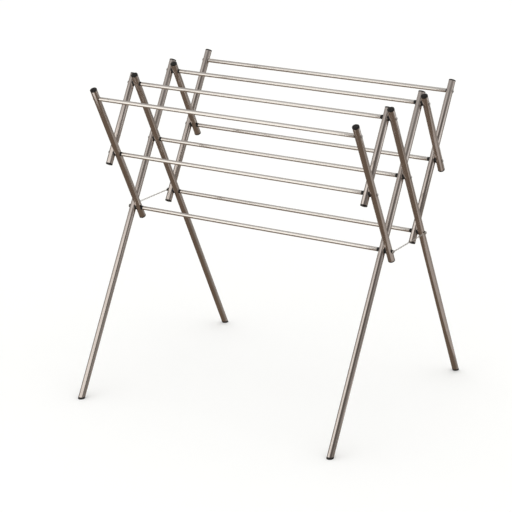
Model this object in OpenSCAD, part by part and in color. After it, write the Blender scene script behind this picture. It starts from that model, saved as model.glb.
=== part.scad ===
// Folding accordion clothes drying rack: crossed tube bars at each end, rods between them.
// Millimetres, +Z up. The origin is on the floor, under the centre of the rack.
// X runs along the rods, Y runs from the front feet to the rear feet.

/* [Rack] */
// Distance between the inboard bars of the two ends, centre to centre
rack_w = 902; // [500:1:1400]
// Height of the centre pivots above the floor
centre_h = 788; // [500:1:1000]
// Distance between neighbouring pivots along a bar
pivot_a = 240; // [150:1:320]
// Distance from the top pivot of a wing to its middle pivot
wing_top_a = 233; // [150:1:320]
// Lean of every bar from the vertical when the rack is open
lean_deg = 29; // [20:0.1:38]

/* [Bars] */
// Outside diameter of the bar tube
bar_d = 22; // [18:0.5:28]
// Wall of the bar tube
bar_wall = 1; // [0.6:0.1:2]
// Length of a leg or of a wing bar past its top pivot, cap included
top_reach = 39; // [30:1:70]
// Length of a link bar past its top pivot, cap included
link_reach = 34; // [30:1:70]
// Length of a short bar past its lowest pivot, cap included
low_reach = 42; // [30:1:70]
// Gap between the surfaces of two crossed bars
bar_gap = 1.5; // [1:0.1:4]

/* [Rods] */
// Outside diameter of the rod tube
rod_d = 13; // [10:0.5:15]
// Wall of the rod tube
rod_wall = 0.8; // [0.5:0.1:1.2]

/* [Pivots] */
// Diameter of the pivot pins
pin_d = 6; // [4:0.5:6.5]
// Radial play of a pin in a bore
run_clear = 0.05; // [0.02:0.01:0.1]
// Radial play of a pin in the middle pivots of the two wings
loose_clear = 0.3; // [0.1:0.05:0.6]
// Gap between faces that turn on each other
face_gap = 0.3; // [0.1:0.05:0.5]
// Length of the collar between a bar and the plug of a rod, at the crest of the bar
collar_len = 3; // [1:0.5:8]
// How far a collar stands out round the rod
collar_lip = 0.5; // [0:0.1:1.5]
// How much narrower than the bar a saddle washer is, each side
saddle_inset = 2; // [0.5:0.1:4]
// Thickness of the plug flange at the end of a rod
plug_rim = 2.5; // [1:0.5:6]
// Depth of the plug inside the rod
plug_depth = 14; // [8:1:30]
// How far a pin cap stands out round the pin
dome_lip = 2; // [1:0.5:4]
// Height of a pin cap
dome_h = 2.9; // [2.6:0.1:4]
// Height of the straight side of a pin cap
dome_rim = 1; // [0.5:0.1:1.2]

/* [End caps] */
// How far an end cap stands proud of the bar tube
cap_lip = 0.3; // [0:0.1:1]
// Height of the straight side of an end cap
cap_rim = 3.6; // [2:0.1:8]
// Height of the domed top of an end cap
cap_dome = 1.9; // [0.5:0.1:4]
// Depth of the cap stem inside the tube
cap_stem = 16; // [8:1:25]
// Height of the visible part of a foot
foot_rim = 6.5; // [3:0.5:12]

/* [Chain] */
// Pitch of the links, before it is adjusted to fill the span
link_pitch = 7.9; // [6:0.1:12]
// Width of a link
link_w = 5.2; // [4.6:0.1:7]
// Width of the wire of a link
link_wire = 1.3; // [0.8:0.1:1.3]
// Thickness of a link
link_t = 1.2; // [0.6:0.1:1.2]
// Play between two links
link_play = 0.4; // [0.4:0.05:0.8]
// Distance from a pivot to the small hole of its chain eye
eye_reach = 9.5; // [8.5:0.5:14]
// Thickness of a chain eye
eye_t = 1.4; // [0.8:0.1:2]
// Thickness of the washer under a chain eye
washer_t = 1.9; // [1.9:0.1:4]

/* [Hidden] */
$fn = 48;

LEFT = -1;
RIGHT = 1;
BAR_STEEL = [0.55, 0.51, 0.47];
ROD_STEEL = [0.82, 0.80, 0.75];
PIN_STEEL = [0.70, 0.69, 0.67];
PLASTIC = [0.09, 0.08, 0.07];
CHAIN_STEEL = [0.62, 0.61, 0.59];

// Spare length that a cut runs past a surface
over = 5;
bar_r = bar_d / 2;
rod_r = rod_d / 2;
pin_r = pin_d / 2;
cap_r = bar_r + cap_lip;
stem_r = bar_r - bar_wall - run_clear;
saddle_r = bar_r - saddle_inset;
collar_r = rod_r + collar_lip;
dome_r = pin_r + dome_lip;
// Distance between the planes of the inboard and the outboard bars
layer_step = bar_d + bar_gap;
// Thickness of a single-bar plug at the crest of its bar
seat_rim = 1;
// How deep a pin sits in its cap, and in the plug at its other end
pin_in_cap = 1;
pin_in_plug = 12;

// Sideways and upwards distance between two neighbouring pivots of one bar
half_pitch = pivot_a * sin(lean_deg);
rise = pivot_a * cos(lean_deg);
pitch = 2 * half_pitch;

// Pivots as [y, z]. The side is -1 at the front, 0 in the centre and 1 at the rear.
function top_pivot(side) = [side * half_pitch, centre_h + rise];
function middle_pivot(side) = [side * pitch, centre_h];
function low_pivot(side) = [side * half_pitch, centre_h - rise];
function wing_pivot(side) =
  [side * (pitch + wing_top_a * sin(lean_deg)), centre_h + wing_top_a * cos(lean_deg)];

// Each frame is a pair of parallel bars, one at each end of the rack:
// [lean, top pivot, distance of each pivot from the top one, play at each pivot,
//  which pivots cross another bar, whether it is a leg]
// A lean of 1 goes down towards the rear and -1 goes down towards the front.
THREE_EVEN = [0, pivot_a, 2 * pivot_a];
WING = [0, wing_top_a, wing_top_a + pivot_a];
TIGHT = [run_clear, run_clear, run_clear];
LOOSE_MIDDLE = [run_clear, loose_clear, run_clear];
REAR_LEG = [1, top_pivot(-1), THREE_EVEN, TIGHT, [0, 1, 2], true];
FRONT_LEG = [-1, top_pivot(1), THREE_EVEN, TIGHT, [0, 1, 2], true];
FRONT_LINK = [-1, top_pivot(-1), [0, pivot_a], TIGHT, [0, 1], false];
REAR_LINK = [1, top_pivot(1), [0, pivot_a], TIGHT, [0, 1], false];
FRONT_WING = [1, wing_pivot(-1), WING, LOOSE_MIDDLE, [1, 2], false];
REAR_WING = [-1, wing_pivot(1), WING, LOOSE_MIDDLE, [1, 2], false];

function lean(frame) = frame[0];
function top_of(frame) = frame[1];
function runs(frame) = frame[2];
function plays(frame) = frame[3];
function crossings(frame) = frame[4];
function is_long(frame) = frame[5];
// 1 where the bars of a lean are the outboard ones, else 0
function outboard(side, way) = side * way > 0 ? 1 : 0;
function bar_x(side, way) = side * (rack_w / 2 + outboard(side, way) * layer_step);
// A link has two pivots, and the other bars have three
function high_end(frame) = len(runs(frame)) < 3 ? link_reach : top_reach;
function low_end(frame) = max(runs(frame)) + low_reach;
// Length along a bar from its top pivot down to the floor, at the centre of the tube
floor_run = pivot_a + centre_h / cos(lean_deg);

// Most rods end at two crossed bars. A single rod seats on one bar at each end, and out is
// then 1 where that bar is an outboard one.
function first_bar_x(single, out) = rack_w / 2 + (single ? out : 0) * layer_step;
function rod_end(single, out) =
  first_bar_x(single, out) - bar_r - (single ? seat_rim : collar_len + face_gap + plug_rim);
// Outer crest of the last bar that a pin goes through
function pin_crest(single, out) = bar_r + rack_w / 2 + (single ? out : 1) * layer_step;

// Stack of parts on the outboard face of the low pivots: a washer, then a chain eye
eye_stack = washer_t + eye_t + run_clear;
chain_x = pin_crest(false, 1) + face_gap + washer_t + eye_t / 2;
washer_r = dome_r + 1;
// Play of the first link in the small hole of its eye, and the metal round the pin
eye_play = 0.8;
eye_wall = 3;
eye_hole_r = link_wire / 2 + eye_play;
eye_r = pin_r + eye_wall;

// The chain: an odd number of links, so that the first and the last lie flat through their eyes
chain_start = eye_reach + eye_hole_r - link_wire - link_play;
chain_fill = pitch - 2 * chain_start - 2 * link_wire - link_play;
half_links = round((chain_fill / link_pitch - 1) / 2);
step = chain_fill / (2 * half_links + 1);
link_len = step + 2 * link_wire + link_play;

// Puts its children at a pivot of a bar, turned so that -Z runs down the bar
module on_bar(frame, side, down = 0) {
  translate([bar_x(side, lean(frame)), top_of(frame)[0], top_of(frame)[1]])
    rotate([lean(frame) * lean_deg, 0, 0])
      translate([0, 0, -down])
        children();
}

// A cylinder along X from x0 to x1
module x_cylinder(r, x0, x1) {
  translate([min(x0, x1), 0, 0])
    rotate([0, 90, 0])
      cylinder(r = r, h = abs(x1 - x0));
}

// A flat block between two levels, wider than the rack, to cut the legs and the feet
module slab(low, high) {
  reach = 2 * (rack_w + centre_h);
  translate([-reach / 2, -reach / 2, low])
    cube([reach, reach, high - low]);
}

// One straight tube with a cross bore at each pivot
module bar(frame, side) {
  long = is_long(frame);
  low = long ? floor_run + bar_d : low_end(frame) - cap_rim - cap_dome;
  high = high_end(frame) - cap_rim - cap_dome;
  difference() {
    on_bar(frame, side, low)
      difference() {
        cylinder(r = bar_r, h = low + high);
        translate([0, 0, -over])
          cylinder(r = bar_r - bar_wall, h = low + high + 2 * over);
      }
    for (i = [0 : len(runs(frame)) - 1])
      on_bar(frame, side, runs(frame)[i])
        x_cylinder(pin_r + plays(frame)[i], -bar_d, bar_d);
    if (long)
      slab(-3 * bar_d, foot_rim);
  }
}

// A domed plug, seen from its rim up along +Z, with its stem down inside the tube
module end_cap() {
  ball_r = (cap_r * cap_r + cap_dome * cap_dome) / (2 * cap_dome);
  intersection() {
    cylinder(r = cap_r, h = cap_rim + cap_dome);
    translate([0, 0, cap_rim + cap_dome - ball_r])
      sphere(r = ball_r, $fn = 96);
  }
  translate([0, 0, -cap_stem])
    cylinder(r = stem_r, h = cap_stem);
}

module caps(frame) {
  for (side = [LEFT, RIGHT]) {
    on_bar(frame, side, cap_rim + cap_dome - high_end(frame))
      end_cap();
    if (!is_long(frame))
      on_bar(frame, side, low_end(frame) - cap_rim - cap_dome)
        mirror([0, 0, 1])
          end_cap();
  }
}

// A foot closes the leg tube, and both are cut level
module feet(frame) {
  for (side = [LEFT, RIGHT]) {
    intersection() {
      on_bar(frame, side, floor_run + bar_d)
        cylinder(r = cap_r, h = 2 * bar_d + foot_rim);
      slab(0, foot_rim);
    }
    difference() {
      on_bar(frame, side, floor_run + bar_d)
        cylinder(r = stem_r, h = bar_d + foot_rim + cap_stem);
      slab(-3 * bar_d, foot_rim);
    }
  }
}

// Saddle washers between crossed bars, and collars on the inner face of the inboard bars
module saddles(frame) {
  for (side = [LEFT, RIGHT])
    for (i = crossings(frame)) {
      out = outboard(side, lean(frame)) == 1;
      bore = pin_r + plays(frame)[i];
      towards = out ? -side : side;
      on_bar(frame, side, runs(frame)[i])
        difference() {
          union() {
            x_cylinder(saddle_r, 0, towards * (layer_step - face_gap) / 2);
            if (!out)
              x_cylinder(collar_r, 0, -side * (bar_r + collar_len));
          }
          translate([0, 0, -bar_d])
            cylinder(r = bar_r, h = 2 * bar_d);
          x_cylinder(bore, -bar_d, bar_d);
        }
    }
}

// A rod tube between its two end plugs; a single rod seats on bars of the given lean
module rod(pivot, single = false, way = 0) {
  left = -rod_end(single, outboard(LEFT, way));
  right = rod_end(single, outboard(RIGHT, way));
  translate([0, pivot[0], pivot[1]])
    difference() {
      x_cylinder(rod_r, left, right);
      x_cylinder(rod_r - rod_wall, left - over, right + over);
    }
}

// The two plugs of a rod, bored for its pins
module plugs(pivot, single = false, way = 0) {
  for (side = [LEFT, RIGHT]) {
    out = outboard(side, way);
    end = rod_end(single, out);
    rim = single ? seat_rim + bar_r : plug_rim;
    translate([0, pivot[0], pivot[1]])
      difference() {
        union() {
          x_cylinder(rod_r, side * end, side * (end + rim));
          x_cylinder(rod_r - rod_wall - run_clear, side * end, side * (end - plug_depth));
        }
        x_cylinder(pin_r + run_clear, side * (end - pin_in_plug), side * (end + rim + over));
        if (single)
          translate([side * first_bar_x(single, out), 0, 0])
            rotate([way * lean_deg, 0, 0])
              translate([0, 0, -bar_d])
                cylinder(r = bar_r, h = 2 * bar_d);
      }
  }
}

// The two pins of a rod, from its plugs out into the pin caps
module pins(pivot, single = false, way = 0, stack = 0) {
  for (side = [LEFT, RIGHT]) {
    out = outboard(side, way);
    inner = rod_end(single, out) - pin_in_plug;
    outer = pin_crest(single, out) + face_gap + stack + pin_in_cap;
    translate([0, pivot[0], pivot[1]])
      x_cylinder(pin_r, side * inner, side * outer);
  }
}

// Domed caps pushed on the ends of the pins
module pin_cap() {
  rise_h = dome_h - dome_rim;
  ball_r = (dome_r * dome_r + rise_h * rise_h) / (2 * rise_h);
  rotate_extrude()
    difference() {
      intersection() {
        translate([0, dome_h - ball_r])
          circle(r = ball_r);
        square([dome_r, dome_h]);
      }
      square([pin_r + run_clear, pin_in_cap + run_clear]);
    }
}

module pin_caps(pivot, single = false, way = 0, stack = 0) {
  for (side = [LEFT, RIGHT]) {
    seat = pin_crest(single, outboard(side, way)) + face_gap + stack;
    translate([side * seat, pivot[0], pivot[1]])
      rotate([0, side * 90, 0])
        pin_cap();
  }
}

// Flat washers on the low pins, under the chain eyes
module chain_washers(pivot) {
  crest = pin_crest(false, 1) + face_gap;
  for (side = [LEFT, RIGHT])
    translate([0, pivot[0], pivot[1]])
      difference() {
        x_cylinder(washer_r, side * crest, side * (crest + washer_t));
        x_cylinder(pin_r + run_clear, side * (crest - over), side * (crest + washer_t + over));
      }
}

// A flat ring with round ends, its length along Y and its thickness along Z
module link() {
  straight = link_len - link_w;
  linear_extrude(height = link_t, center = true)
    difference() {
      union() {
        square([link_w, straight], center = true);
        for (end = [-1, 1])
          translate([0, end * straight / 2])
            circle(d = link_w);
      }
      square([link_w - 2 * link_wire, straight], center = true);
      for (end = [-1, 1])
        translate([0, end * straight / 2])
          circle(d = link_w - 2 * link_wire);
    }
}

// Links first to last, counted from a pivot, every second one turned on edge
module links(first, last) {
  for (i = [first : last])
    translate([0, chain_start + i * step + link_len / 2, 0])
      rotate([0, i % 2 == 0 ? 0 : 90, 0])
        link();
}

// The eye plate that holds the end of the chain on a pin
module chain_eye() {
  tip_r = eye_hole_r + link_wire;
  rotate([0, 90, 0])
    linear_extrude(height = eye_t, center = true)
      difference() {
        union() {
          circle(r = eye_r);
          translate([-tip_r, 0])
            square([2 * tip_r, eye_reach]);
          translate([0, eye_reach])
            circle(r = tip_r);
        }
        circle(r = pin_r + run_clear);
        translate([0, eye_reach])
          circle(r = eye_hole_r);
      }
}

// Puts its children at a low pivot, on the chain's plane, with +Y towards the other low pivot
module chain_from(pivot, side, way) {
  translate([side * chain_x, pivot[0], pivot[1]])
    rotate([0, 0, way > 0 ? 0 : 180])
      children();
}

module chain_half(pivot, side, way) {
  chain_from(pivot, side, way) {
    chain_eye();
    links(0, half_links - 1);
  }
}

module chain_middle(side) {
  chain_from(low_pivot(-1), side, 1)
    links(half_links, half_links);
}

// Rear legs, with the front inner rod of the top row and the centre rod
module rear_leg_left() { color(BAR_STEEL) bar(REAR_LEG, LEFT); }
module rear_leg_right() { color(BAR_STEEL) bar(REAR_LEG, RIGHT); }
module rear_leg_caps() { color(PLASTIC) caps(REAR_LEG); }
module rear_leg_feet() { color(PLASTIC) feet(REAR_LEG); }
module rear_leg_top_rod() { color(ROD_STEEL) rod(top_pivot(-1)); }
module rear_leg_centre_rod() { color(ROD_STEEL) rod(middle_pivot(0)); }
module rear_leg_plugs() { color(PLASTIC) for (p = [top_pivot(-1), middle_pivot(0)]) plugs(p); }
module rear_leg_pins() { color(PIN_STEEL) for (p = [top_pivot(-1), middle_pivot(0)]) pins(p); }
module rear_leg_pin_caps() { color(PIN_STEEL) for (p = [top_pivot(-1), middle_pivot(0)]) pin_caps(p); }
module rear_leg_saddles() { color(PLASTIC) saddles(REAR_LEG); }

// Front legs, with the rear inner rod of the top row
module front_leg_left() { color(BAR_STEEL) bar(FRONT_LEG, LEFT); }
module front_leg_right() { color(BAR_STEEL) bar(FRONT_LEG, RIGHT); }
module front_leg_caps() { color(PLASTIC) caps(FRONT_LEG); }
module front_leg_feet() { color(PLASTIC) feet(FRONT_LEG); }
module front_leg_top_rod() { color(ROD_STEEL) rod(top_pivot(1)); }
module front_leg_plugs() { color(PLASTIC) plugs(top_pivot(1)); }
module front_leg_pins() { color(PIN_STEEL) pins(top_pivot(1)); }
module front_leg_pin_caps() { color(PIN_STEEL) pin_caps(top_pivot(1)); }
module front_leg_saddles() { color(PLASTIC) saddles(FRONT_LEG); }

// Front links, with the front rod of the middle row
module front_link_left() { color(BAR_STEEL) bar(FRONT_LINK, LEFT); }
module front_link_right() { color(BAR_STEEL) bar(FRONT_LINK, RIGHT); }
module front_link_caps() { color(PLASTIC) caps(FRONT_LINK); }
module front_link_rod() { color(ROD_STEEL) rod(middle_pivot(-1)); }
module front_link_plugs() { color(PLASTIC) plugs(middle_pivot(-1)); }
module front_link_pins() { color(PIN_STEEL) pins(middle_pivot(-1)); }
module front_link_pin_caps() { color(PIN_STEEL) pin_caps(middle_pivot(-1)); }
module front_link_saddles() { color(PLASTIC) saddles(FRONT_LINK); }

// Rear links, with the rear rod of the middle row
module rear_link_left() { color(BAR_STEEL) bar(REAR_LINK, LEFT); }
module rear_link_right() { color(BAR_STEEL) bar(REAR_LINK, RIGHT); }
module rear_link_caps() { color(PLASTIC) caps(REAR_LINK); }
module rear_link_rod() { color(ROD_STEEL) rod(middle_pivot(1)); }
module rear_link_plugs() { color(PLASTIC) plugs(middle_pivot(1)); }
module rear_link_pins() { color(PIN_STEEL) pins(middle_pivot(1)); }
module rear_link_pin_caps() { color(PIN_STEEL) pin_caps(middle_pivot(1)); }
module rear_link_saddles() { color(PLASTIC) saddles(REAR_LINK); }

// Front wing, with the front rods of the top row and of the low row
module front_wing_left() { color(BAR_STEEL) bar(FRONT_WING, LEFT); }
module front_wing_right() { color(BAR_STEEL) bar(FRONT_WING, RIGHT); }
module front_wing_caps() { color(PLASTIC) caps(FRONT_WING); }
module front_wing_top_rod() { color(ROD_STEEL) rod(wing_pivot(-1), true, 1); }
module front_wing_low_rod() { color(ROD_STEEL) rod(low_pivot(-1)); }
module front_wing_plugs() {
  color(PLASTIC) {
    plugs(wing_pivot(-1), true, 1);
    plugs(low_pivot(-1));
  }
}
module front_wing_pins() {
  color(PIN_STEEL) {
    pins(wing_pivot(-1), true, 1);
    pins(low_pivot(-1), stack = eye_stack);
  }
}
module front_wing_pin_caps() {
  color(PIN_STEEL) {
    pin_caps(wing_pivot(-1), true, 1);
    pin_caps(low_pivot(-1), stack = eye_stack);
  }
}
module front_wing_spacers() {
  color(PLASTIC) {
    saddles(FRONT_WING);
    chain_washers(low_pivot(-1));
  }
}

// Rear wing, with the rear rods of the top row and of the low row
module rear_wing_left() { color(BAR_STEEL) bar(REAR_WING, LEFT); }
module rear_wing_right() { color(BAR_STEEL) bar(REAR_WING, RIGHT); }
module rear_wing_caps() { color(PLASTIC) caps(REAR_WING); }
module rear_wing_top_rod() { color(ROD_STEEL) rod(wing_pivot(1), true, -1); }
module rear_wing_low_rod() { color(ROD_STEEL) rod(low_pivot(1)); }
module rear_wing_plugs() {
  color(PLASTIC) {
    plugs(wing_pivot(1), true, -1);
    plugs(low_pivot(1));
  }
}
module rear_wing_pins() {
  color(PIN_STEEL) {
    pins(wing_pivot(1), true, -1);
    pins(low_pivot(1), stack = eye_stack);
  }
}
module rear_wing_pin_caps() {
  color(PIN_STEEL) {
    pin_caps(wing_pivot(1), true, -1);
    pin_caps(low_pivot(1), stack = eye_stack);
  }
}
module rear_wing_spacers() {
  color(PLASTIC) {
    saddles(REAR_WING);
    chain_washers(low_pivot(1));
  }
}

// Restraint chain at each end: a half from each low pivot and the link that joins them
module chain_left_front() { color(CHAIN_STEEL) chain_half(low_pivot(-1), LEFT, 1); }
module chain_left_middle() { color(CHAIN_STEEL) chain_middle(LEFT); }
module chain_left_rear() { color(CHAIN_STEEL) chain_half(low_pivot(1), LEFT, -1); }
module chain_right_front() { color(CHAIN_STEEL) chain_half(low_pivot(-1), RIGHT, 1); }
module chain_right_middle() { color(CHAIN_STEEL) chain_middle(RIGHT); }
module chain_right_rear() { color(CHAIN_STEEL) chain_half(low_pivot(1), RIGHT, -1); }

rear_leg_left();
rear_leg_right();
rear_leg_caps();
rear_leg_feet();
rear_leg_top_rod();
rear_leg_centre_rod();
rear_leg_plugs();
rear_leg_pins();
rear_leg_pin_caps();
rear_leg_saddles();
front_leg_left();
front_leg_right();
front_leg_caps();
front_leg_feet();
front_leg_top_rod();
front_leg_plugs();
front_leg_pins();
front_leg_pin_caps();
front_leg_saddles();
front_link_left();
front_link_right();
front_link_caps();
front_link_rod();
front_link_plugs();
front_link_pins();
front_link_pin_caps();
front_link_saddles();
rear_link_left();
rear_link_right();
rear_link_caps();
rear_link_rod();
rear_link_plugs();
rear_link_pins();
rear_link_pin_caps();
rear_link_saddles();
front_wing_left();
front_wing_right();
front_wing_caps();
front_wing_top_rod();
front_wing_low_rod();
front_wing_plugs();
front_wing_pins();
front_wing_pin_caps();
front_wing_spacers();
rear_wing_left();
rear_wing_right();
rear_wing_caps();
rear_wing_top_rod();
rear_wing_low_rod();
rear_wing_plugs();
rear_wing_pins();
rear_wing_pin_caps();
rear_wing_spacers();
chain_left_front();
chain_left_middle();
chain_left_rear();
chain_right_front();
chain_right_middle();
chain_right_rear();
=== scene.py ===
# %% [markdown]
# # A folding clothes drying rack
# Each end of the rack is a lattice of crossed steel tubes, and nine polished rods run between the
# two ends. Black plastic closes every tube and keeps the steel parts from rubbing. We build each
# piece the way the factory would, and hang it on the part of the frame that it moves with.

# %% Load the frame
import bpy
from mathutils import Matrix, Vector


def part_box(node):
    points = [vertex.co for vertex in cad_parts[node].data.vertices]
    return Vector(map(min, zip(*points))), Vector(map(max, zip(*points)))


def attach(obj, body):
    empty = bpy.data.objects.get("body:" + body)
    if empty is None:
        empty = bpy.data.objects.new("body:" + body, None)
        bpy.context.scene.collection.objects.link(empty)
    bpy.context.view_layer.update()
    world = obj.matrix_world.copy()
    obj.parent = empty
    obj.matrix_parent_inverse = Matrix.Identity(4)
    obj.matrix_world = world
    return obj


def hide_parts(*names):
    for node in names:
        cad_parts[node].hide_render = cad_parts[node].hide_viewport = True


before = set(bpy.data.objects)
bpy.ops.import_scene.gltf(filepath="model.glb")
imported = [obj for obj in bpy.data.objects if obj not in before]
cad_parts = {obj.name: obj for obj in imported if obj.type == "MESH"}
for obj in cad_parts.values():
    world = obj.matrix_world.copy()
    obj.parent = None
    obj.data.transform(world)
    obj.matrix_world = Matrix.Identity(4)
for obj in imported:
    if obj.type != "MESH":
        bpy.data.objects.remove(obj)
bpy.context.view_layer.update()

# %% [markdown]
# The steel and plastic parts are made with bmesh, which builds a mesh in memory before it becomes an
# object. It gives exact sizes and clean edges, which suits turned, drawn and moulded parts better
# than sculpting would. Vectors and matrices put each piece in its place.

# %% The tools of the trade
import math

import bmesh
import bpy
from mathutils import Matrix, Vector

print("Blender", bpy.app.version_string)

# %% [markdown]
# ## Where the pivots are
# Nine rods join the two ends, and every rod lies on one pivot line of the lattice. So the middle of
# each rod tells us where its pivot is. Reading places from the frame, and not typing them in, keeps
# every new piece in step with the parts that it must fit.

# %% Read the pivots from the rods
ROD_NODES = {
    "front_outer_top": "front_wing_top_rod", "front_inner_top": "rear_leg_top_rod",
    "rear_inner_top": "front_leg_top_rod", "rear_outer_top": "rear_wing_top_rod",
    "front_middle": "front_link_rod", "centre": "rear_leg_centre_rod",
    "rear_middle": "rear_link_rod", "front_low": "front_wing_low_rod",
    "rear_low": "rear_wing_low_rod",
}


def middle_of(node):
    low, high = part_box(node)
    return (low + high) / 2


def size_of(node):
    low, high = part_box(node)
    return high - low


PIVOTS = {name: Vector((0, middle_of(node).y, middle_of(node).z))
          for name, node in ROD_NODES.items()}
ROD_RADIUS = size_of("rear_leg_centre_rod").z / 2
for name, place in PIVOTS.items():
    print(f"{name:16s} y {place.y:+.4f}  z {place.z:.4f}")

# %% [markdown]
# ## The frames of the lattice
# A frame is a pair of parallel bars, one at each end of the rack, with the rods that tie them. Three
# frames lean down to the rear, and three lean down to the front. On the left end the bars that lean
# down to the rear are the inner ones, and on the right end they are the outer ones. We could place
# twelve bars by hand, but one list of frames lets a loop make each kind of piece for all of them.

# %% List the six frames
FRAMES = {
    "rear_leg": {"body": "rear_legs", "pivots": ["front_inner_top", "centre", "rear_low"],
                 "rods": ["front_inner_top", "centre"]},
    "front_leg": {"body": "front_legs", "pivots": ["rear_inner_top", "centre", "front_low"],
                  "rods": ["rear_inner_top"]},
    "front_link": {"body": "front_links", "pivots": ["front_inner_top", "front_middle"],
                   "rods": ["front_middle"]},
    "rear_link": {"body": "rear_links", "pivots": ["rear_inner_top", "rear_middle"],
                  "rods": ["rear_middle"]},
    "front_wing": {"body": "front_wing", "pivots": ["front_outer_top", "front_middle", "front_low"],
                   "rods": ["front_outer_top", "front_low"]},
    "rear_wing": {"body": "rear_wing", "pivots": ["rear_outer_top", "rear_middle", "rear_low"],
                  "rods": ["rear_outer_top", "rear_low"]},
}
SIDES = {"left": -1, "right": 1}
OUTER_TOPS = ("front_outer_top", "rear_outer_top")
LOW_PIVOTS = ("front_low", "rear_low")
BAR_RADIUS = size_of("rear_leg_left").x / 2


def is_leg(name):
    return name.endswith("leg")


def crossings(name):
    """The pivots where two bars cross. The top of a wing has one bar only."""
    return [p for p in FRAMES[name]["pivots"] if p not in OUTER_TOPS]


def lean_of(name):
    """The angle of a frame's bars from the vertical. It is above 0 where they go down to the rear."""
    top, bottom = (PIVOTS[FRAMES[name]["pivots"][i]] for i in (0, -1))
    return math.atan2(bottom.y - top.y, top.z - bottom.z)


def bar_x(name, side):
    """How far to the left or right a bar stands."""
    return middle_of(f"{name}_{side}").x


def on_bar(name, side, pivot):
    """The matrix that stands a piece made along Z on a bar, with its origin at a pivot."""
    place = Vector((bar_x(name, side), PIVOTS[pivot].y, PIVOTS[pivot].z))
    return Matrix.Translation(place) @ Matrix.Rotation(lean_of(name), 4, "X")


PLANE_STEP = abs(bar_x("rear_leg", "right") - bar_x("front_leg", "right"))
print(f"bars {2000 * BAR_RADIUS:.1f} mm, rods {2000 * ROD_RADIUS:.1f} mm, "
      f"step between bar planes {1000 * PLANE_STEP:.1f} mm")
print("lean in degrees:", {n: round(math.degrees(lean_of(n)), 2) for n in FRAMES})

# %% [markdown]
# ## Helpers for turned pieces
# Almost everything here is round: tubes, caps, collars and washers are turned or moulded about an
# axis. A cylinder with bevels would do for the plainest of them, but a lathe makes them all from one
# drawing each, so we draw half of the section and spin it a full turn about Z. Doubles are merged
# after the spin, because points on the axis land on top of each other, and the normals are
# recalculated, because a spin can turn a shape inside out.

# %% The lathe
ROUND = 48
DOME_STEPS = 6
MERGE = 1e-6
SHARP = math.radians(35)
QUARTER_TURN = math.pi / 2


def lathe(outline):
    """Spins a closed section, given as (radius, height) points, about the Z axis."""
    bm = bmesh.new()
    ends = [bm.verts.new((radius, 0, height)) for radius, height in outline]
    for a, b in zip(ends, ends[1:] + ends[:1]):
        if max(a.co.x, b.co.x) > MERGE:
            bm.edges.new((a, b))
    bmesh.ops.spin(bm, geom=bm.verts[:] + bm.edges[:], axis=(0, 0, 1), cent=(0, 0, 0),
                   steps=ROUND, angle=2 * math.pi, use_merge=True)
    bmesh.ops.remove_doubles(bm, verts=bm.verts[:], dist=MERGE)
    bmesh.ops.recalc_face_normals(bm, faces=bm.faces[:])
    return bm


def soften(bm, width, segments=2):
    """Rounds every sharp edge of a moulded or cut piece. A bevel this small only shows as a glint."""
    sharp = [e for e in bm.edges if len(e.link_faces) == 2 and e.calc_face_angle(0) > SHARP]
    bmesh.ops.bevel(bm, geom=sharp, offset=width, offset_type="OFFSET", affect="EDGES",
                    segments=segments, profile=0.5, material=-1, clamp_overlap=True)


def dome(radius, height, base):
    """Points of a shallow dome, part of a ball, from its rim to its crown on the axis."""
    ball = (radius ** 2 + height ** 2) / (2 * height)
    widest = math.asin(min(1, radius / ball))
    angles = [widest * (1 - i / DOME_STEPS) for i in range(DOME_STEPS + 1)]
    return [(ball * math.sin(a), base + height - ball + ball * math.cos(a)) for a in angles]


print("a dome of 10 mm by 2 mm:", [(round(1000 * r, 2), round(1000 * z, 2))
                                   for r, z in dome(0.010, 0.002, 0)])

# %% [markdown]
# ## Finishing a piece
# A piece is made about its own origin, and then its vertices are moved to its place on the rack.
# Moving the object would be quicker, but with the place in the mesh every object sits at the origin
# and any export agrees about it. Before that move we store where each vertex was made in an
# attribute. A drawn tube has lines along its length, and the attribute lets a material follow them
# however the tube leans.

# %% From a bmesh to a piece on the rack
MADE_PIECES = []


def remember_shape(bm):
    """Stores where each vertex is now, for the material's pattern."""
    made_at = bm.verts.layers.float_vector.new("made_at")
    for v in bm.verts:
        v[made_at] = v.co


def add_piece(bm, name, place, body, material, stands_for):
    """Puts a finished bmesh on the rack, to move with a body in place of a plain node."""
    if not bm.verts.layers.float_vector.get("made_at"):
        remember_shape(bm)
    bmesh.ops.transform(bm, matrix=place, verts=bm.verts[:])
    mesh = bpy.data.meshes.new(name)
    bm.to_mesh(mesh)
    bm.free()
    mesh.polygons.foreach_set("use_smooth", [True] * len(mesh.polygons))
    mesh.set_sharp_from_angle(angle=SHARP)
    piece = bpy.data.objects.new(name, mesh)
    bpy.context.scene.collection.objects.link(piece)
    mesh.materials.append(material)
    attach(piece, body)
    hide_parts(stands_for)
    MADE_PIECES.append(piece)


def count_pieces(word):
    return sum(word in piece.name for piece in MADE_PIECES)


print("pieces so far:", len(MADE_PIECES))

# %% [markdown]
# ## Steel that was drawn through a die
# A tube drawn through a die keeps fine lines along its length. They hardly show as colour, but they
# blur a reflection across the tube and leave it crisp along the tube. We could ask the shader for
# anisotropy, but lines in the roughness and the bump survive an export and show as real lines up
# close. One node group makes them, and both steels use it with their own values. First come a few
# small functions, so that each material below reads as a recipe and not as wiring.

# %% Short ways to make nodes
def new_group(name, inputs, outputs):
    group = bpy.data.node_groups.new(name, "ShaderNodeTree")
    for label, kind, value in inputs:
        socket = group.interface.new_socket(label, in_out="INPUT", socket_type=kind)
        socket.default_value = value
    for label, kind in outputs:
        group.interface.new_socket(label, in_out="OUTPUT", socket_type=kind)
    return group, group.nodes.new("NodeGroupInput"), group.nodes.new("NodeGroupOutput")


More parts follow.
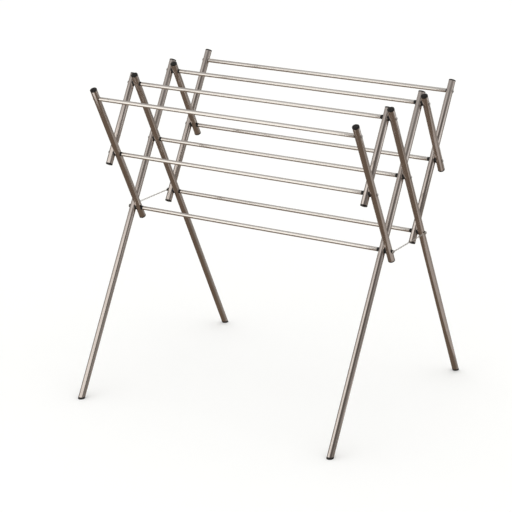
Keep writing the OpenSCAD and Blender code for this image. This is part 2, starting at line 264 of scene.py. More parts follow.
def add_node(tree, kind, inputs=None, **settings):
    """Adds a node, sets its properties, and fills its inputs with values or links."""
    node = tree.nodes.new(kind)
    for key, value in settings.items():
        setattr(node, key, value)
    for key, value in (inputs or {}).items():
        if isinstance(value, bpy.types.NodeSocket):
            tree.links.new(value, node.inputs[key])
        else:
            node.inputs[key].default_value = value
    return node


def noise(tree, vector, scale, detail=2.0, roughness=0.5):
    """A noise texture, centred on 0.5."""
    return add_node(tree, "ShaderNodeTexNoise", {"Vector": vector, "Scale": scale,
                    "Detail": detail, "Roughness": roughness}).outputs["Fac"]


def remap(tree, value, low_in, high_in, low_out, high_out):
    """Stretches one range of values onto another."""
    return add_node(tree, "ShaderNodeMapRange", {"Value": value, "From Min": low_in,
                    "From Max": high_in, "To Min": low_out, "To Max": high_out}).outputs["Result"]


def stretched(tree, vector, across, along):
    """Coordinates that make a pattern fine across a tube and long along it."""
    return add_node(tree, "ShaderNodeVectorMath", {0: vector, 1: (across, across, along)},
                    operation="MULTIPLY").outputs["Vector"]


print("helpers:", [f.__name__ for f in (new_group, add_node, noise, remap, stretched)])

# %% [markdown]
# The Mix node has several sockets named A and B, one pair for each data type, so a name is not
# enough to find the right one. This small function picks the colour pair by its place.

# %% Mix two colours
MIX_SOCKETS = (0, 6, 7)
MIX_RESULT = 2


def mix_colour(tree, factor, a, b):
    """The factor goes to the first socket, and the two colours to the pair for colours."""
    node = add_node(tree, "ShaderNodeMix", data_type="RGBA")
    for index, value in zip(MIX_SOCKETS, (factor, a, b)):
        if isinstance(value, bpy.types.NodeSocket):
            tree.links.new(value, node.inputs[index])
        else:
            node.inputs[index].default_value = value
    return node.outputs[MIX_RESULT]


print("mixing sockets", MIX_SOCKETS, "into", MIX_RESULT)

# %% [markdown]
# The lines come in two widths. Fine ones, about a millimetre across, go into the roughness and the
# bump. Broad ones tint the steel a little, and soft clouds over both stand for handling and age.

# %% A node group for drawn lines
FINE_LINES = (900, 9)
BROAD_LINES = (260, 2.5)
CLOUD_SCALE = 22.0
drawn, source, sink = new_group(
    "drawn_lines",
    [("Made At", "NodeSocketVector", (0, 0, 0)), ("Steel", "NodeSocketColor", (0.6, 0.6, 0.6, 1)),
     ("Stain", "NodeSocketColor", (0.5, 0.45, 0.4, 1)), ("Polish", "NodeSocketFloat", 0.2),
     ("Haze", "NodeSocketFloat", 0.1)],
    [("Color", "NodeSocketColor"), ("Roughness", "NodeSocketFloat"), ("Height", "NodeSocketFloat")])
made = source.outputs["Made At"]
fine_lines = noise(drawn, stretched(drawn, made, *FINE_LINES), 1.0, 3.0, 0.6)
broad_lines = noise(drawn, stretched(drawn, made, *BROAD_LINES), 1.0, 2.0)
clouds = noise(drawn, made, CLOUD_SCALE, 3.0, 0.6)
lined = mix_colour(drawn, remap(drawn, broad_lines, 0.35, 0.7, 0.0, 0.35),
                   source.outputs["Steel"], source.outputs["Stain"])
clouded = mix_colour(drawn, remap(drawn, clouds, 0.45, 0.75, 0.0, 0.5), lined,
                     source.outputs["Stain"])
haze = add_node(drawn, "ShaderNodeMath", {0: remap(drawn, clouds, 0.3, 0.7, -0.5, 0.6),
                1: remap(drawn, fine_lines, 0.3, 0.7, -0.5, 0.5)}, operation="ADD").outputs[0]
spread = add_node(drawn, "ShaderNodeMath", {0: haze, 1: source.outputs["Haze"],
                  2: source.outputs["Polish"]}, operation="MULTIPLY_ADD").outputs[0]
drawn.links.new(clouded, sink.inputs["Color"])
drawn.links.new(spread, sink.inputs["Roughness"])
drawn.links.new(fine_lines, sink.inputs["Height"])
print("group", drawn.name, "has", len(drawn.nodes), "nodes")

# %% [markdown]
# ## The two steels
# The bars are a warm grey steel with a satin look, and the rods are brighter and almost mirror
# polished. Both are bare metal, so their colour lives in what they reflect: the base colour only
# tints it. The chain and the pins are plated, with a grain and no lines along them. A deep bump
# would blur away the long bright streak of a polished tube, so the lines are only a few thousandths
# of a millimetre deep.

# %% Make the steels
GRAIN_DEPTH = 0.00003
GRAIN_SCALE = 700.0
PATCH_SCALE = 60.0
PATCH_SHADE = 0.75


def new_material(name, roughness=0.5, metallic=0.0):
    material = bpy.data.materials.new(name)
    material.use_nodes = True
    shader = material.node_tree.nodes["Principled BSDF"]
    shader.inputs["Roughness"].default_value = roughness
    shader.inputs["Metallic"].default_value = metallic
    return material, material.node_tree, shader


def bump(tree, shader, height, depth, strength):
    """Raises the surface by a pattern. The depth is in metres."""
    node = add_node(tree, "ShaderNodeBump", {"Height": height, "Distance": depth,
                    "Strength": strength})
    tree.links.new(node.outputs["Normal"], shader.inputs["Normal"])


def drawn_steel(name, steel, stain, polish, haze, line_depth):
    material, tree, shader = new_material(name, metallic=1.0)
    made_at = add_node(tree, "ShaderNodeAttribute", attribute_name="made_at").outputs["Vector"]
    lines = add_node(tree, "ShaderNodeGroup", node_tree=drawn)
    tree.links.new(made_at, lines.inputs["Made At"])
    lines.inputs["Steel"].default_value = (*steel, 1)
    lines.inputs["Stain"].default_value = (*stain, 1)
    lines.inputs["Polish"].default_value = polish
    lines.inputs["Haze"].default_value = haze
    tree.links.new(lines.outputs["Color"], shader.inputs["Base Color"])
    tree.links.new(lines.outputs["Roughness"], shader.inputs["Roughness"])
    bump(tree, shader, lines.outputs["Height"], line_depth, strength=0.5)
    return material


def plated_steel(name, steel, polish):
    material, tree, shader = new_material(name, metallic=1.0)
    place = add_node(tree, "ShaderNodeTexCoord").outputs["Object"]
    grain = noise(tree, place, GRAIN_SCALE, 3.0)
    patches = noise(tree, place, PATCH_SCALE, 2.0)
    tint = mix_colour(tree, remap(tree, patches, 0.4, 0.7, 0.0, 0.5), (*steel, 1),
                      (*(PATCH_SHADE * c for c in steel), 1))
    tree.links.new(tint, shader.inputs["Base Color"])
    tree.links.new(remap(tree, patches, 0.3, 0.7, polish - 0.06, polish + 0.1),
                   shader.inputs["Roughness"])
    bump(tree, shader, grain, GRAIN_DEPTH, strength=0.4)
    return material


BAR_STEEL = drawn_steel("bar_steel", steel=(0.68, 0.625, 0.59), stain=(0.55, 0.49, 0.45),
                        polish=0.16, haze=0.05, line_depth=0.000006)
ROD_STEEL = drawn_steel("rod_steel", steel=(0.93, 0.90, 0.86), stain=(0.84, 0.80, 0.76),
                        polish=0.13, haze=0.05, line_depth=0.000004)
CHAIN_STEEL = plated_steel("chain_steel", steel=(0.86, 0.84, 0.80), polish=0.22)
PIN_STEEL = plated_steel("pin_steel", steel=(0.60, 0.58, 0.56), polish=0.30)
print("steels:", [m.name for m in (BAR_STEEL, ROD_STEEL, CHAIN_STEEL, PIN_STEEL)])

# %% [markdown]
# ## Black plastic
# The caps, collars, washers and feet are moulded in black. A mould leaves a very fine texture, and
# handling polishes it in some places and leaves dust in others. Plain black would look like a hole
# in the picture, so one group gives the texture and the dust, and the feet get more of the dust than
# the caps.

# %% A node group for moulded skin
SKIN_SCALE = 2600.0
SMUDGE_SCALE = 130.0
moulded, source, sink = new_group(
    "moulded_skin",
    [("Place", "NodeSocketVector", (0, 0, 0)), ("Black", "NodeSocketColor", (0.02, 0.02, 0.02, 1)),
     ("Dust", "NodeSocketColor", (0.08, 0.07, 0.06, 1)), ("Amount", "NodeSocketFloat", 0.3),
     ("Sheen", "NodeSocketFloat", 0.35)],
    [("Color", "NodeSocketColor"), ("Roughness", "NodeSocketFloat"), ("Height", "NodeSocketFloat")])
skin = noise(moulded, source.outputs["Place"], SKIN_SCALE, 2.0)
smudges = noise(moulded, source.outputs["Place"], SMUDGE_SCALE, 3.0, 0.6)
dust_mask = add_node(moulded, "ShaderNodeMath", {0: remap(moulded, smudges, 0.45, 0.75, 0.0, 1.0),
                     1: source.outputs["Amount"]}, operation="MULTIPLY").outputs[0]
moulded.links.new(mix_colour(moulded, dust_mask, source.outputs["Black"], source.outputs["Dust"]),
                  sink.inputs["Color"])
dull = add_node(moulded, "ShaderNodeMath", {0: remap(moulded, smudges, 0.3, 0.7, -0.08, 0.14),
                1: source.outputs["Sheen"]}, operation="ADD").outputs[0]
moulded.links.new(dull, sink.inputs["Roughness"])
moulded.links.new(skin, sink.inputs["Height"])
print("group", moulded.name, "has", len(moulded.nodes), "nodes")

# %% [markdown]
# The caps are shiny, the pieces in the joints are rubbed dull, and the feet are softer and greyer.
# The shader's gloss is turned down a little, which keeps the plastics black under a pale room.

# %% Make the plastics
PLASTIC_GLOSS = 0.35


def black_plastic(name, black, dust, amount, sheen):
    material, tree, shader = new_material(name)
    shader.inputs["Specular IOR Level"].default_value = PLASTIC_GLOSS
    skin_group = add_node(tree, "ShaderNodeGroup", node_tree=moulded)
    place = add_node(tree, "ShaderNodeTexCoord").outputs["Object"]
    tree.links.new(place, skin_group.inputs["Place"])
    skin_group.inputs["Black"].default_value = (*black, 1)
    skin_group.inputs["Dust"].default_value = (*dust, 1)
    skin_group.inputs["Amount"].default_value = amount
    skin_group.inputs["Sheen"].default_value = sheen
    tree.links.new(skin_group.outputs["Color"], shader.inputs["Base Color"])
    tree.links.new(skin_group.outputs["Roughness"], shader.inputs["Roughness"])
    bump(tree, shader, skin_group.outputs["Height"], GRAIN_DEPTH, strength=0.35)
    return material


CAP_PLASTIC = black_plastic("cap_plastic", black=(0.006, 0.005, 0.004),
                            dust=(0.035, 0.032, 0.03), amount=0.5, sheen=0.26)
JOINT_PLASTIC = black_plastic("joint_plastic", black=(0.006, 0.005, 0.004),
                              dust=(0.025, 0.022, 0.02), amount=0.4, sheen=0.42)
FOOT_PLASTIC = black_plastic("foot_plastic", black=(0.010, 0.009, 0.008),
                             dust=(0.07, 0.06, 0.05), amount=0.7, sheen=0.50)
print("plastics:", [m.name for m in (CAP_PLASTIC, JOINT_PLASTIC, FOOT_PLASTIC)])

# %% [markdown]
# ## The bars
# A bar is a plain tube with a 1 mm wall and a small burr-free rounding at each end. It could be two
# cylinders, one cut from the other, but the lathe makes both walls and the two rims at once. A leg
# is made too long and is then cut level by a plane, the way a saw would do it, and its rim is
# bridged again between the two cut circles.

# %% Turn and cut the bars
BAR_WALL = 0.001
RIM_ROUND = 0.00025
LEG_SPARE = 0.020


def bar_reach(name, side):
    """How far the tube of a bar goes up past its top pivot, and down from it."""
    low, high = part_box(f"{name}_{side}")
    lean = abs(lean_of(name))
    top = PIVOTS[FRAMES[name]["pivots"][0]].z
    tilt = BAR_RADIUS * math.sin(lean)
    up = (high.z - top - tilt) / math.cos(lean)
    down = (top - low.z - tilt) / math.cos(lean)
    return up, (down + LEG_SPARE if is_leg(name) else down)


def tube(up, down, radius, wall):
    """A tube along Z, from -down to up."""
    bm = lathe([(radius, -down), (radius, up), (radius - wall, up), (radius - wall, -down)])
    soften(bm, RIM_ROUND)
    return bm


def cut_level(bm, place, height):
    """Saws a tube level and closes the ring-shaped cut."""
    to_tube = place.inverted()
    normal = (to_tube.to_3x3() @ Vector((0, 0, -1))).normalized()
    cut = bmesh.ops.bisect_plane(bm, geom=bm.verts[:] + bm.edges[:] + bm.faces[:], dist=MERGE,
                                 plane_co=to_tube @ Vector((place.translation.x, 0, height)),
                                 plane_no=normal, clear_outer=True)
    rims = [e for e in cut["geom_cut"] if isinstance(e, bmesh.types.BMEdge)]
    bmesh.ops.bridge_loops(bm, edges=rims)
    bmesh.ops.recalc_face_normals(bm, faces=bm.faces[:])


for name, parts in FRAMES.items():
    for side in SIDES:
        up, down = bar_reach(name, side)
        place = on_bar(name, side, parts["pivots"][0])
        bar = tube(up, down, BAR_RADIUS, BAR_WALL)
        if is_leg(name):
            cut_level(bar, place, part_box(f"{name}_{side}")[0].z)
        add_piece(bar, f"{name}_tube_{side}", place, parts["body"], BAR_STEEL,
                  f"{name}_{side}")
print("bars:", len(MADE_PIECES), "tubes")

# %% [markdown]
# ## The rods
# The rods are thinner tubes that lie along X, and the laundry hangs on them. Where two bars cross, a
# rod stops at a plug and a collar. The outer rod of each wing has one bar at each end, and reaches
# almost to it. They are the same tube as the bars in another size, so the same function turns them.

# %% Turn the rods
ROD_WALL = 0.0008


def rod_span(pivot):
    """The two ends of a rod tube along X."""
    low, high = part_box(ROD_NODES[pivot])
    return low.x, high.x


def lying(pivot, x, towards=1):
    """The matrix that lays a piece made along Z on a pivot line, with +Z towards one end."""
    place = Vector((x, PIVOTS[pivot].y, PIVOTS[pivot].z))
    return Matrix.Translation(place) @ Matrix.Rotation(towards * QUARTER_TURN, 4, "Y")


for name, parts in FRAMES.items():
    for pivot in parts["rods"]:
        start, end = rod_span(pivot)
        half = (end - start) / 2
        add_piece(tube(half, half, ROD_RADIUS, ROD_WALL), f"{pivot}_rod_tube",
                  lying(pivot, (start + end) / 2), parts["body"], ROD_STEEL,
                  ROD_NODES[pivot])
print("rods:", [f"{1000 * size_of(node).x:.0f} mm" for node in ROD_NODES.values()])

# %% [markdown]
# ## End caps
# A cap is a moulded plug: a rim a little wider than the tube, a shallow dome on it, and a hollow
# stem that grips the bore. The same cap closes the top of all bars and the low end of the short
# ones. A disc would look the same from afar, but the dome catches the light as the real cap does.

# %% Mould the end caps
CAP_LIP = 0.0003
CAP_RIM = 0.0036
CAP_DOME = 0.0019
CAP_STEM = 0.016
STEM_CLEAR = 0.00005
PLUG_WALL = 0.0016
CAP_ROUND = 0.0005


def end_cap():
    """A cap with its dome up, and its stem down from the height 0 into the tube."""
    stem = BAR_RADIUS - BAR_WALL - STEM_CLEAR
    outline = dome(BAR_RADIUS + CAP_LIP, CAP_DOME, CAP_RIM)
    outline += [(0, -PLUG_WALL), (stem - PLUG_WALL, -PLUG_WALL), (stem - PLUG_WALL, -CAP_STEM),
                (stem, -CAP_STEM), (stem, 0), (BAR_RADIUS + CAP_LIP, 0)]
    bm = lathe(outline)
    soften(bm, CAP_ROUND, 3)
    return bm


for name, parts in FRAMES.items():
    for side in SIDES:
        up, down = bar_reach(name, side)
        top = on_bar(name, side, parts["pivots"][0])
        ends = {"top": top @ Matrix.Translation((0, 0, up))}
        if not is_leg(name):
            turned = Matrix.Rotation(math.pi, 4, "X")
            ends["low"] = top @ Matrix.Translation((0, 0, -down)) @ turned
        for end, place in ends.items():
            add_piece(end_cap(), f"{name}_{end}_cap_{side}", place, parts["body"], CAP_PLASTIC,
                      f"{name}_caps")
print("end caps:", count_pieces("_cap_"))

# %% [markdown]
# ## Feet
# A foot is a short plug cut level at the floor, so a leg stands on a flat oval and not on a sharp
# edge. A turned cap would only touch the floor at one point of its rim. So we take a cylinder that
# leans with the leg and slice it twice: at the floor, and where the tube starts. The lower edge is
# rounded as rubber feet are.

# %% Slice the feet
FOOT_ROUND = 0.0011
FOOT_BLANK = 0.066


def slice_off(bm, height, keep_below):
    """Cuts a solid level and closes the cut with one face."""
    side = 1 if keep_below else -1
    cut = bmesh.ops.bisect_plane(bm, geom=bm.verts[:] + bm.edges[:] + bm.faces[:], dist=MERGE,
                                 plane_co=(0, 0, height), plane_no=(0, 0, side), clear_outer=True)
    rim = [e for e in cut["geom_cut"] if isinstance(e, bmesh.types.BMEdge)]
    bmesh.ops.contextual_create(bm, geom=rim)


for name in ("rear_leg", "front_leg"):
    top_of_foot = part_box(f"{name}_left")[0].z
    for side in SIDES:
        place = on_bar(name, side, FRAMES[name]["pivots"][0])
        floor_run = place.translation.z / math.cos(lean_of(name))
        foot = bmesh.new()
        bmesh.ops.create_cone(foot, cap_ends=True, segments=ROUND, depth=FOOT_BLANK,
                              radius1=BAR_RADIUS + CAP_LIP, radius2=BAR_RADIUS + CAP_LIP)
        remember_shape(foot)
        bmesh.ops.transform(foot, matrix=place @ Matrix.Translation((0, 0, -floor_run)),
                            verts=foot.verts[:])
        slice_off(foot, top_of_foot, keep_below=True)
        slice_off(foot, 0, keep_below=False)
        soften(foot, FOOT_ROUND, 3)
        add_piece(foot, f"{name}_foot_{side}", Matrix(), FRAMES[name]["body"], FOOT_PLASTIC,
                  f"{name}_feet")
print("feet:", count_pieces("_foot_"))

# %% [markdown]
# ## Saddle washers and collars
# Two crossed tubes would touch at one point and scratch each other. A saddle washer is hollowed on
# one side to sit on its tube and flat on the other side to turn on its twin. A collar is the same
# idea on the inner face: it sits on the tube and carries the flat end of the rod. Cutting a ring with
# a copy of the tube would leave ragged faces. We turn a plain ring with a few circles on its seat,
# and then press those circles onto the round of the tube.

# %% Press a ring onto a tube
PIN_RADIUS = size_of("front_leg_pins").z / 2
PIN_CLEAR = 0.00005
TURNING_CLEAR = 0.0003
FACE_GAP = 0.0003
SADDLE_INSET = 0.002
COLLAR_LENGTH = 0.003
COLLAR_LIP = 0.0005
SEAT_CLEAR = 0.00002
SEAT_ROUND = 0.0003
SEAT_CIRCLES = 4


def seat_circles(bore, radius):
    """Points for the seat of a ring, at the height 0, from its bore to its rim."""
    return [(bore + (radius - bore) * i / SEAT_CIRCLES, 0) for i in range(SEAT_CIRCLES + 1)]


def press_onto_bar(bm):
    """Lays a ring along X and presses its seat onto a bar along Z."""
    bmesh.ops.rotate(bm, verts=bm.verts[:], cent=(0, 0, 0),
                     matrix=Matrix.Rotation(QUARTER_TURN, 3, "Y"))
    for v in bm.verts:
        if abs(v.co.x) < MERGE:
            v.co.x = math.sqrt(BAR_RADIUS ** 2 - v.co.y ** 2) + SEAT_CLEAR
    bmesh.ops.recalc_face_normals(bm, faces=bm.faces[:])


def seated_ring(radius, face):
    """A ring along +X from the surface of a bar along Z to a flat face at x = face."""
    bore = PIN_RADIUS + TURNING_CLEAR
    bm = lathe(seat_circles(bore, radius) + [(radius, face), (bore, face)])
    press_onto_bar(bm)
    flat = [e for e in bm.edges if all(abs(v.co.x - face) < MERGE for v in e.verts)
            and e.calc_face_angle(0) > SHARP]
    bmesh.ops.bevel(bm, geom=flat, offset=SEAT_ROUND, offset_type="OFFSET", affect="EDGES",
                    segments=2, profile=0.5, material=-1, clamp_overlap=True)
    return bm


def facing(name, side, pivot, towards):
    """The matrix of a bar at a pivot, with +X turned to the left or right end of the rack."""
    half_turn = Matrix.Rotation(0 if towards > 0 else math.pi, 4, "Z")
    return on_bar(name, side, pivot) @ half_turn


for name, parts in FRAMES.items():
    node = f"{name}_spacers" if name.endswith("wing") else f"{name}_saddles"
    for side, sign in SIDES.items():
        outer = sign * lean_of(name) > 0
        for pivot in crossings(name):
            add_piece(seated_ring(BAR_RADIUS - SADDLE_INSET, (PLANE_STEP - FACE_GAP) / 2),
                      f"{name}_{pivot}_saddle_{side}",
                      facing(name, side, pivot, -sign if outer else sign), parts["body"],
                      JOINT_PLASTIC, node)
            if not outer:
                add_piece(seated_ring(ROD_RADIUS + COLLAR_LIP, BAR_RADIUS + COLLAR_LENGTH),
                          f"{name}_{pivot}_collar_{side}", facing(name, side, pivot, -sign),
                          parts["body"], JOINT_PLASTIC, node)
print("pin radius", round(1000 * PIN_RADIUS, 2), "mm; saddles:", count_pieces("_saddle_"),
      "collars:", count_pieces("_collar_"))

# %% [markdown]
# ## Plugs in the rod ends
# A plug closes each rod and holds the pin. Its flange shows as a thin black ring between the rod
# and the collar. On the outer rods of the wings there is no collar, and the flange itself is
# hollowed to sit on the bar. Only the flange can be seen, but a whole plug keeps the model true if
# someone takes it apart, and it costs few faces.

# %% Make the rod plugs
PLUG_FLANGE = 0.0025
PLUG_DEPTH = 0.014
SINGLE_SEAT = 0.001
PLUG_STEM = ROD_RADIUS - ROD_WALL - STEM_CLEAR
PIN_BORE = PIN_RADIUS + PIN_CLEAR


def rod_plug():
    """A plug with its stem down inside the rod and its flange up from the height 0."""
    bm = lathe([(PIN_BORE, PLUG_FLANGE), (ROD_RADIUS, PLUG_FLANGE), (ROD_RADIUS, 0),
                (PLUG_STEM, 0), (PLUG_STEM, -PLUG_DEPTH), (PIN_BORE, -PLUG_DEPTH)])
    soften(bm, SEAT_ROUND)
    return bm


def saddle_plug():
    """A plug along +X from the surface of a bar along Z, with its flange hollowed to fit it."""
    start = BAR_RADIUS + SINGLE_SEAT
    bm = lathe(seat_circles(PIN_BORE, ROD_RADIUS)
               + [(ROD_RADIUS, start), (PLUG_STEM, start), (PLUG_STEM, start + PLUG_DEPTH),
                  (PIN_BORE, start + PLUG_DEPTH)])
    press_onto_bar(bm)
    return bm


for name, parts in FRAMES.items():
    for pivot in parts["rods"]:
        for (side, sign), end in zip(SIDES.items(), rod_span(pivot)):
            if pivot in OUTER_TOPS:
                plug = saddle_plug()
                place = facing(name, side, pivot, -sign)
            else:
                plug = rod_plug()
                place = lying(pivot, end, sign)
            add_piece(plug, f"{pivot}_rod_plug_{side}", place, parts["body"], JOINT_PLASTIC,
                      f"{name}_plugs")
print("plugs:", count_pieces("_plug_"))

# %% [markdown]
# ## Pin caps and chain washers
# The outer end of each pin is pressed into a small domed cap of steel. At the four low pivots a
# thick washer and the eye of the chain sit under the cap, so there the cap stands further out. The
# places are added up along the pin, as on a bench: bar, small gap, washer, eye, cap.

# %% Make the pin caps
PIN_CAP_LIP = 0.002
PIN_CAP_HEIGHT = 0.0029
PIN_CAP_SIDE = 0.001
PIN_IN_CAP = 0.001
WASHER_LIP = 0.001
WASHER_THICKNESS = 0.0019
EYE_THICKNESS = 0.0014
PIN_CAP_RADIUS = PIN_RADIUS + PIN_CAP_LIP


def pin_cap():
    bm = lathe(dome(PIN_CAP_RADIUS, PIN_CAP_HEIGHT - PIN_CAP_SIDE, PIN_CAP_SIDE)
               + [(0, PIN_IN_CAP), (PIN_BORE, PIN_IN_CAP), (PIN_BORE, 0), (PIN_CAP_RADIUS, 0)])
    soften(bm, SEAT_ROUND)
    return bm


def washer(radius, bore, thickness):
    bm = lathe([(radius, 0), (radius, thickness), (bore, thickness), (bore, 0)])
    soften(bm, SEAT_ROUND)
    return bm


def outer_face(name, pivot, side):
    """How far from the middle a pin leaves the outermost bar at its pivot, a small gap included."""
    bars = (name,) if pivot in OUTER_TOPS else ("rear_leg", "front_leg")
    return max(abs(bar_x(bar, side)) for bar in bars) + BAR_RADIUS + FACE_GAP


for name, parts in FRAMES.items():
    for pivot in parts["rods"]:
        for side, sign in SIDES.items():
            face = outer_face(name, pivot, side)
            stack = WASHER_THICKNESS + EYE_THICKNESS + PIN_CLEAR if pivot in LOW_PIVOTS else 0
            add_piece(pin_cap(), f"{pivot}_pin_cap_{side}", lying(pivot, sign * (face + stack), sign),
                      parts["body"], PIN_STEEL, f"{name}_pin_caps")
            if pivot in LOW_PIVOTS:
                add_piece(washer(PIN_CAP_RADIUS + WASHER_LIP, PIN_BORE, WASHER_THICKNESS - PIN_CLEAR),
                          f"{pivot}_chain_washer_{side}", lying(pivot, sign * face, sign),
                          parts["body"], JOINT_PLASTIC, f"{name}_spacers")
print("pin caps:", count_pieces("_pin_cap_"), "washers:", count_pieces("_washer_"))

# %% [markdown]
# ## The restraint chains
# A chain at each end stops the rack from opening too far. Its links are bent from round wire, and
# every second one is turned on edge. A link starts as a ring: a small circle spun about Z. Pulling
# its two halves apart along Y gives the straight sides of a real link. A curve with a round bevel
# would make the same shape, but a mesh can be joined to its neighbours at once. The links are spaced
# for wire that is a little thicker than theirs, which leaves them some play where they hook.

# %% Bend a link
LINK_WIRE = 0.00122
SPACING_WIRE = 0.0013
LINK_PLAY = 0.0004
LINK_STEPS = 20
WIRE_STEPS = 8

LINK_LENGTH = size_of("chain_left_middle").y
LINK_WIDTH = size_of("chain_left_middle").z
LINK_STEP = LINK_LENGTH - 2 * SPACING_WIRE - LINK_PLAY
CHAIN_X = {side: middle_of(f"chain_{side}_middle").x for side in SIDES}


def link():
    """A link of round wire, its length along Y, flat in the XY plane."""
    bm = bmesh.new()
    bmesh.ops.create_circle(bm, segments=WIRE_STEPS, radius=LINK_WIRE / 2)
    bmesh.ops.rotate(bm, verts=bm.verts[:], cent=(0, 0, 0),
                     matrix=Matrix.Rotation(QUARTER_TURN, 3, "X"))
    bend = (LINK_WIDTH - LINK_WIRE) / 2
    bmesh.ops.translate(bm, verts=bm.verts[:], vec=(bend, 0, 0))
    bmesh.ops.rotate(bm, verts=bm.verts[:], cent=(0, 0, 0),
                     matrix=Matrix.Rotation(math.pi / LINK_STEPS, 3, "Z"))
    bmesh.ops.spin(bm, geom=bm.verts[:] + bm.edges[:], axis=(0, 0, 1), cent=(0, 0, 0),
                   steps=LINK_STEPS, angle=2 * math.pi, use_merge=True)
    bmesh.ops.remove_doubles(bm, verts=bm.verts[:], dist=MERGE)
    straight = (LINK_LENGTH - LINK_WIDTH) / 2
    for sign in (-1, 1):
        half = [v for v in bm.verts if sign * v.co.y > 0]
        bmesh.ops.translate(bm, verts=half, vec=(0, sign * straight, 0))
    bmesh.ops.recalc_face_normals(bm, faces=bm.faces[:])
    return bm


def add_to(bm, other, matrix):
    """Moves a second bmesh by a matrix and joins it to the first."""
    bmesh.ops.transform(other, matrix=matrix, verts=other.verts[:])
    spare = bpy.data.meshes.new("spare")
    other.to_mesh(spare)
    other.free()
    bm.from_mesh(spare)
    bpy.data.meshes.remove(spare)


print(f"link {1000 * LINK_LENGTH:.1f} by {1000 * LINK_WIDTH:.1f} mm, pitch {1000 * LINK_STEP:.2f} mm")

# %% [markdown]
# A stamped eye holds each end of the chain on its pin. It is a flat drop: a ring round the pin and a
# small ring round the first link, joined by a short neck. Both rings are turned like the washers,
# and a block set between them is the neck. The block is a little thinner than the rings, so that no
# two faces lie in one plane and flicker.

# %% Stamp an eye
EYE_REACH = 0.0095
EYE_LIP = 0.003
EYE_HOLE = 0.00145
EYE_RIM = 0.0013
NECK_NARROWING = 0.8
NECK_THINNING = 0.96


def chain_eye():
    """An eye flat in the YZ plane, round a pin at the origin and a link at +Y."""
    eye = washer(PIN_RADIUS + EYE_LIP, PIN_BORE, EYE_THICKNESS)
    link_ring = washer(EYE_HOLE + EYE_RIM, EYE_HOLE, EYE_THICKNESS)
    add_to(eye, link_ring, Matrix.Translation((0, EYE_REACH, 0)))
    neck = bmesh.new()
    bmesh.ops.create_cube(neck, size=1)
    start = PIN_RADIUS + EYE_LIP / 2
    end = EYE_REACH - EYE_HOLE - EYE_RIM / 2
    size = (2 * (EYE_HOLE + EYE_RIM) * NECK_NARROWING, end - start, EYE_THICKNESS * NECK_THINNING)
    add_to(eye, neck, Matrix.Translation((0, (start + end) / 2, EYE_THICKNESS / 2))
           @ Matrix.Diagonal((*size, 1)))
    bmesh.ops.translate(eye, verts=eye.verts[:], vec=(0, 0, -EYE_THICKNESS / 2))
    bmesh.ops.rotate(eye, verts=eye.verts[:], cent=(0, 0, 0),
                     matrix=Matrix.Rotation(QUARTER_TURN, 3, "Y"))
    return eye


print(f"eye {1000 * EYE_THICKNESS:.1f} mm thick, its two holes {1000 * EYE_REACH:.1f} mm apart")

# %% [markdown]
# When the rack is open each chain is straight. A real chain bends at every link, but this one only
# has to fold in the middle, so it is a stiff half from each pin and one loose link between them. The
# links of a half are joined into one piece.

# %% Hang the chains
def turned_link(index):
    """The turn of a link: every second one is on edge."""
    return Matrix.Rotation(QUARTER_TURN if index % 2 else 0, 4, "Y")


START_OF_MIDDLE = abs(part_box("chain_left_middle")[0].y - PIVOTS["front_low"].y)
HALF_LINKS = round((START_OF_MIDDLE - EYE_REACH) / LINK_STEP)
FIRST_LINK = START_OF_MIDDLE - HALF_LINKS * LINK_STEP + LINK_LENGTH / 2
for side in SIDES:
    for end, turn in (("front", 0), ("rear", math.pi)):
        chain = chain_eye()
        for i in range(HALF_LINKS):
            along = Matrix.Translation((0, FIRST_LINK + i * LINK_STEP, 0))
            add_to(chain, link(), along @ turned_link(i))
        pivot = PIVOTS[f"{end}_low"]
        place = Matrix.Translation((CHAIN_X[side], pivot.y, pivot.z)) @ Matrix.Rotation(turn, 4, "Z")
        add_piece(chain, f"chain_{end}_half_{side}", place, f"chain_{side}_{end}", CHAIN_STEEL,
                  f"chain_{side}_{end}")
    middle = link()
    bmesh.ops.transform(middle, matrix=turned_link(HALF_LINKS), verts=middle.verts[:])
    add_piece(middle, f"chain_middle_link_{side}",
              Matrix.Translation(middle_of(f"chain_{side}_middle")), f"chain_{side}_middle",
              CHAIN_STEEL, f"chain_{side}_middle")
print("links in a half:", HALF_LINKS, "and one in the middle")

# %% [markdown]
# ## Pins
# The pins are plain round steel and sit inside the bars, plugs and caps, where hardly anything of
# them shows. We could turn them again, but their shape from the frame is right, so they only get
# their plated finish.

# %% Finish the pins
for name, parts in FRAMES.items():
    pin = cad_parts[f"{name}_pins"]
    pin.data.materials.clear()
    pin.data.materials.append(PIN_STEEL)
print("pieces made:", len(MADE_PIECES), "faces:", sum(len(p.data.polygons) for p in MADE_PIECES))

# %% [markdown]
# ## A pale floor and a studio for metal
# Bare metal shows nothing but its surroundings, so the room matters more than the lamps. The floor
# and the air are white to the camera. What the steel sees is a studio: a dark floor, a dim ceiling,
# a large white card to the front left, and smaller ones to the right. The cards are hidden from
# the camera and from plain diffuse light, so that only the metal shows them.

# %% Floor
FLOOR_SIZE = 40.0
FLOOR_COLOUR = (0.93, 0.93, 0.925, 1)
floor_bm = bmesh.new()
bmesh.ops.create_grid(floor_bm, x_segments=1, y_segments=1, size=FLOOR_SIZE / 2)
floor_mesh = bpy.data.meshes.new("floor")
floor_bm.to_mesh(floor_mesh)
floor_bm.free()
floor = bpy.data.objects.new("floor", floor_mesh)
bpy.context.scene.collection.objects.link(floor)
floor_paint, tree, shader = new_material("pale_floor", roughness=0.9)
shader.inputs["Base Color"].default_value = FLOOR_COLOUR
floor_mesh.materials.append(floor_paint)
floor.visible_glossy = False
print("floor", FLOOR_SIZE, "m wide")

